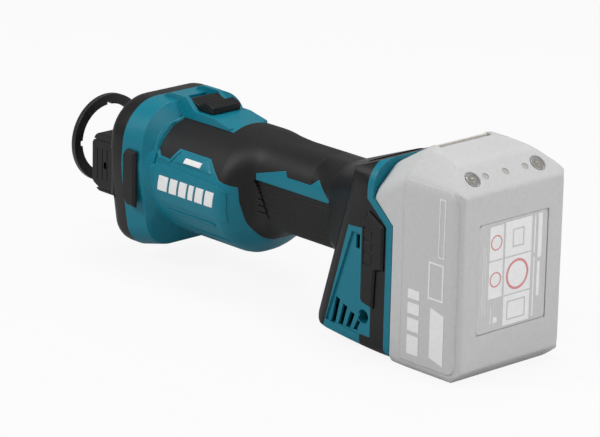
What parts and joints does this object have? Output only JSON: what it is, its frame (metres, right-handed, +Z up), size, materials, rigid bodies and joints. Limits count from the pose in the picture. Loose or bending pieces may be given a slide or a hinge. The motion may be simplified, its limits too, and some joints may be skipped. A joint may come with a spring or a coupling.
{
  "type": "rotary cutout tool",
  "caption": "Cordless rotary cut-out tool: collet nose with a depth-guide foot, round motor barrel, slim handle and a slide-on battery pack at the rear.",
  "frame": {"origin": "centre of the collet's mouth, on the spindle axis", "axes": "+X runs back along the tool from the collet to the battery, +Y to the user's right, +Z up through the slide switch"},
  "size_m": [0.3115, 0.0824, 0.113],
  "materials": {
    "teal_shell": "moulded satin",
    "soft_grip": "fine stipple",
    "black_plastic": "fine texture",
    "battery_grey": "fine texture",
    "button_white": "satin",
    "label_grey": "printed film",
    "zinc_steel": "zinc plated",
    "dark_steel": "black oxide",
    "bright_steel": "ground",
    "copper": "enamelled wire",
    "lamination": "stacked sheet",
    "alloy": "die cast",
    "board_green": "solder mask",
    "cell_wrap": "shrink wrap",
    "nickel": "nickel plated",
    "lead_cover": "silicone insulation",
    "lens": "clear"
  },
  "bodies": {
    "housing": {"housing_left": "teal_shell", "housing_right": "teal_shell", "grip_left": "soft_grip", "grip_right": "soft_grip", "rear_cover_left": "black_plastic", "rear_cover_right": "black_plastic", "housing_screws": "dark_steel", "bearing_box": "black_plastic", "nose_screws": "dark_steel", "flank_bumper_left": "soft_grip", "flank_bumper_right": "soft_grip", "lever_pin": "bright_steel", "lock_spring": "bright_steel", "front_bearing": "bright_steel", "rear_bearing": "bright_steel", "bearing_sleeve": "soft_grip", "baffle_plate": "black_plastic", "stator_core": "lamination", "stator_coils": "copper", "sensor_board": "board_green", "motor_leads": "lead_cover", "switch_body": "black_plastic", "switch_spring": "bright_steel", "controller": "alloy", "terminal_block": "black_plastic", "contact_blades": "nickel"},
    "spindle": {"spindle": "bright_steel", "rotor_core": "lamination", "cooling_fan": "black_plastic"},
    "collet": {"collet": "bright_steel", "collet_nut": "dark_steel"},
    "depth_guide": {"guide_foot": "zinc_steel", "guide_sleeve": "alloy", "guide_rivets": "bright_steel"},
    "cam_lever": {"cam_lever": "black_plastic"},
    "spindle_lock": {"lock_button": "black_plastic", "lock_pin": "bright_steel"},
    "switch": {"switch_knob": "black_plastic", "switch_rod": "black_plastic"},
    "filter_cover_left": {"filter_cover_left": "black_plastic"},
    "filter_cover_right": {"filter_cover_right": "black_plastic"},
    "battery": {"battery_cover": "battery_grey", "battery_case": "battery_grey", "battery_screws": "dark_steel", "charge_lights": "lens", "rating_plate": "label_grey", "battery_cells": "cell_wrap", "battery_board": "board_green", "contact_clips": "nickel", "button_spring": "bright_steel"},
    "battery_button": {"battery_button": "button_white"}
  },
  "joints": [
    {"name": "spindle_spin", "type": "hinge", "parent": "housing", "child": "spindle", "pos_m": [0, 0, 0], "axis": [-1, 0, 0], "continuous": true},
    {"name": "collet_removal", "type": "slide", "parent": "spindle", "child": "collet", "axis": [-1, 0, 0], "range_m": [0, 0.03]},
    {"name": "guide_depth", "type": "slide", "parent": "housing", "child": "depth_guide", "axis": [1, 0, 0], "range_m": [-0.006, 0.01]},
    {"name": "cam_lever_clamp", "type": "hinge", "parent": "housing", "child": "cam_lever", "pos_m": [0.0155, -0.03, 0], "axis": [0, 0, 1], "range_deg": [0, 100]},
    {"name": "spindle_lock_press", "type": "slide", "parent": "housing", "child": "spindle_lock", "axis": [0, -1, 0], "range_m": [0, 0.0028], "stiffness_N_per_m": 1200, "springref_m": -0.001, "deforming": ["lock_spring"]},
    {"name": "switch_slide", "type": "slide", "parent": "housing", "child": "switch", "axis": [-1, 0, 0], "range_m": [0, 0.006], "stiffness_N_per_m": 500, "springref_m": -0.002, "deforming": ["switch_spring"]},
    {"name": "filter_cover_left_off", "type": "slide", "parent": "housing", "child": "filter_cover_left", "axis": [0, -1, 0], "range_m": [0, 0.02]},
    {"name": "filter_cover_right_off", "type": "slide", "parent": "housing", "child": "filter_cover_right", "axis": [0, 1, 0], "range_m": [0, 0.02]},
    {"name": "battery_slide", "type": "slide", "parent": "housing", "child": "battery", "axis": [0, 0, 1], "range_m": [0, 0.095]},
    {"name": "battery_button_press", "type": "slide", "parent": "battery", "child": "battery_button", "axis": [1, 0, 0], "range_m": [0, 0.0025], "stiffness_N_per_m": 1500, "springref_m": -0.001, "deforming": ["button_spring"]}
  ]
}
